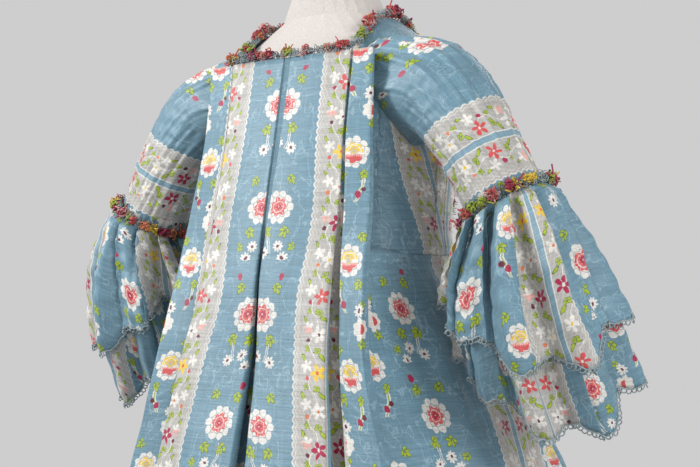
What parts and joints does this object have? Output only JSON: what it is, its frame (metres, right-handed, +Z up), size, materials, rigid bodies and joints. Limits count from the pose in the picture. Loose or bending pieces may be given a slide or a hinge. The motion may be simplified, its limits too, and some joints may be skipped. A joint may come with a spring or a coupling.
{
  "type": "robe a la francaise on a dress form",
  "caption": "Sack-back silk gown with pleated back, elbow sleeves with tiered flounces, fringed neckline and open-front skirt, worn by a limbless dress form on a stand",
  "frame": {"origin": "centre of the stand's underside, on the floor, on the pole's axis", "axes": "+Z up, -Y the way the gown's front faces, +X the wearer's left"},
  "size_m": [0.9144, 0.9056, 1.4645],
  "materials": {
    "silk": "pale blue taffeta with cream stripes and brocaded flowers, a soft low sheen",
    "trim": "knotted silk floss fly fringe in coral, red, pink and yellow-green on a ruched pale cord",
    "braid": "white and grey-blue looped silk braid",
    "form": "smooth matt white",
    "steel": "satin grey"
  },
  "bodies": {
    "root": {"form_torso": "form", "form_cap": "form", "form_pole": "steel", "form_base": "steel", "sack_back_left": "silk", "sack_back_right": "silk", "skirt_left": "silk", "skirt_right": "silk", "bodice_back_left": "silk", "bodice_back_right": "silk", "bodice_front_left": "silk", "bodice_front_right": "silk", "shoulder_strap_left": "silk", "shoulder_strap_right": "silk", "robing_left": "silk", "robing_right": "silk", "sleeve_left": "silk", "sleeve_right": "silk", "flounce_upper_left": "silk", "flounce_upper_right": "silk", "flounce_lower_left": "silk", "flounce_lower_right": "silk", "cuff_trim_left": "trim", "cuff_trim_right": "trim", "front_trim_left": "trim", "front_trim_right": "trim", "neck_trim": "trim", "edging_upper_left": "braid", "edging_upper_right": "braid", "edging_lower_left": "braid", "edging_lower_right": "braid"}
  },
  "joints": []
}
